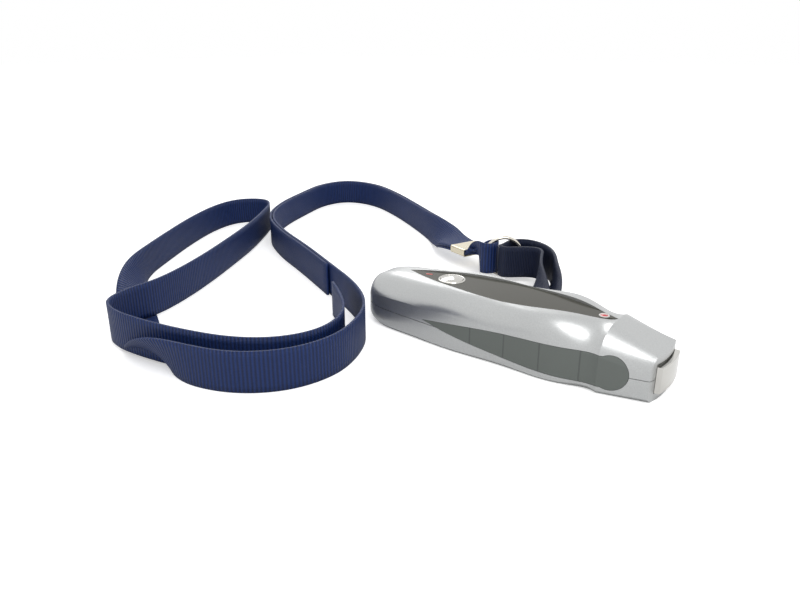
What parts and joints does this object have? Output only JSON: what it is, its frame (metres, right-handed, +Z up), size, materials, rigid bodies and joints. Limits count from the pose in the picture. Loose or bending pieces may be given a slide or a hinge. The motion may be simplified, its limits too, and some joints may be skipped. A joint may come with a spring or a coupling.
{
  "type": "digital luggage scale",
  "caption": "Bar-shaped hand-held digital luggage scale with battery drawer, button, load strap, ring and folded lanyard.",
  "frame": {"origin": "under the middle of the case, on the plane that it lies on", "axes": "+X towards the nose with the battery drawer, +Y the side that the load strap leaves, +Z up through the window"},
  "size_m": [0.2906, 0.2507, 0.0231],
  "materials": {
    "silver_case": "satin silver metallic paint on moulded plastic",
    "soft_inlay": "matte grey-green soft touch",
    "guide_plastic": "moulded black",
    "smoked_window": "dark olive smoked gloss",
    "chrome_trim": "bright plated",
    "red_lens": "clear red",
    "white_ring": "pale ring",
    "black_plastic": "moulded black",
    "board_green": "solder mask",
    "display_glass": "liquid-crystal glass",
    "elastomer": "zebra strip",
    "chip_black": "epoxy package",
    "beam_aluminium": "milled",
    "gauge_foil": "foil on polyimide",
    "zinc_steel": "zinc plated",
    "nickel_wire": "nickel plated wire",
    "crimp_metal": "warm nickel plated sheet",
    "navy_webbing": "ribbed navy grosgrain",
    "strap_webbing": "tight navy webbing",
    "tray_plastic": "moulded grey",
    "cell_steel": "nickel plated can",
    "contact_bronze": "spring bronze"
  },
  "bodies": {
    "case": {"upper_shell": "silver_case", "lower_shell": "silver_case", "front_grip": "soft_inlay", "back_grip": "soft_inlay", "strap_guide": "guide_plastic", "window": "smoked_window", "button_bezel": "chrome_trim", "switch_body": "black_plastic", "status_light": "red_lens", "light_ring": "white_ring", "light_base": "black_plastic", "main_board": "board_green", "case_screws": "zinc_steel", "board_screws": "zinc_steel", "display_glass": "display_glass", "display_frame": "black_plastic", "display_connectors": "elastomer", "chips": "chip_black", "buzzer": "black_plastic", "load_cell": "beam_aluminium", "strain_gauges": "gauge_foil", "load_cell_screws": "zinc_steel", "strap_clamp": "zinc_steel", "clamp_rivets": "zinc_steel", "contact_top": "contact_bronze", "contact_rim": "contact_bronze", "load_strap": "strap_webbing", "lanyard_crimp": "crimp_metal", "lanyard_outer": "navy_webbing", "lanyard_inner": "navy_webbing", "lanyard_tab": "navy_webbing"},
    "power_button": {"button_cap": "chrome_trim", "switch_plunger": "black_plastic"},
    "battery_drawer": {"battery_tray": "tray_plastic", "coin_cell": "cell_steel", "drawer_pull": "chrome_trim"},
    "ring": {"split_ring": "nickel_wire"}
  },
  "joints": [
    {"name": "button_press", "type": "slide", "parent": "case", "child": "power_button", "axis": [0, 0, -1], "range_m": [0, 0.0006], "stiffness_N_per_m": 2000, "springref_m": -0.0003},
    {"name": "drawer_slide", "type": "slide", "parent": "case", "child": "battery_drawer", "axis": [1, 0, 0], "range_m": [0, 0.02]},
    {"name": "ring_spin", "type": "hinge", "parent": "case", "child": "ring", "pos_m": [-0.0435, 0.074, 0.01], "axis": [-0.6392, 0.769, 0], "continuous": true}
  ]
}
